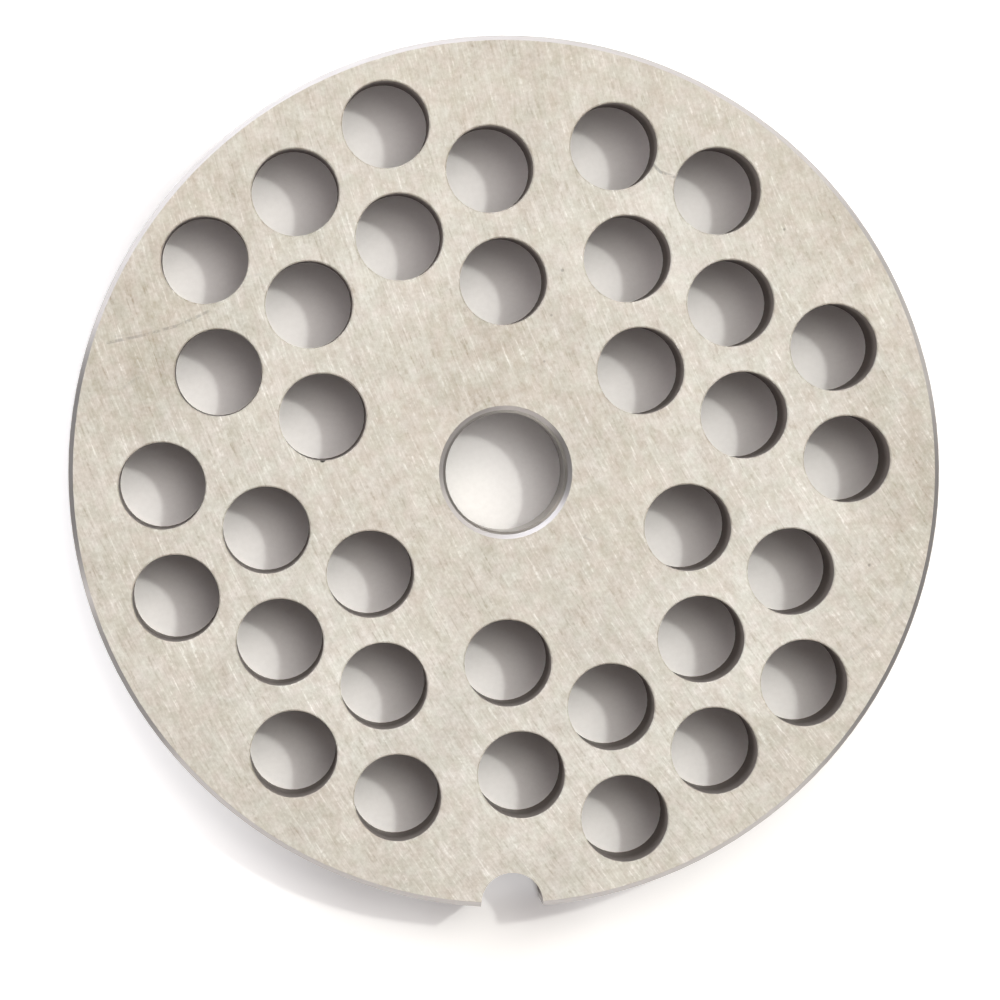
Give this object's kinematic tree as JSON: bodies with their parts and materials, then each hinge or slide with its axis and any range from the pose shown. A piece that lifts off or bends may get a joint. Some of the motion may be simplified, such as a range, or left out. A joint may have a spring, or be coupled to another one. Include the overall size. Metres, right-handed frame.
{
  "type": "meat grinder plate",
  "caption": "Flat round hole plate of a meat grinder, with a centre bore for the screw's end and a locating notch in the rim; meat is pressed through its holes",
  "frame": {"origin": "on the axis of the centre bore, at the back face that the plate rests on", "axes": "+Z along the bore's axis, out of the cutting face; the rim's notch is at -Y"},
  "size_m": [0.07, 0.0699, 0.008],
  "materials": {
    "ground_steel": "surface-ground carbon steel with fine arced grinding lines, lightly stained from use"
  },
  "bodies": {
    "root": {"grinder_plate": "ground_steel"}
  },
  "joints": []
}
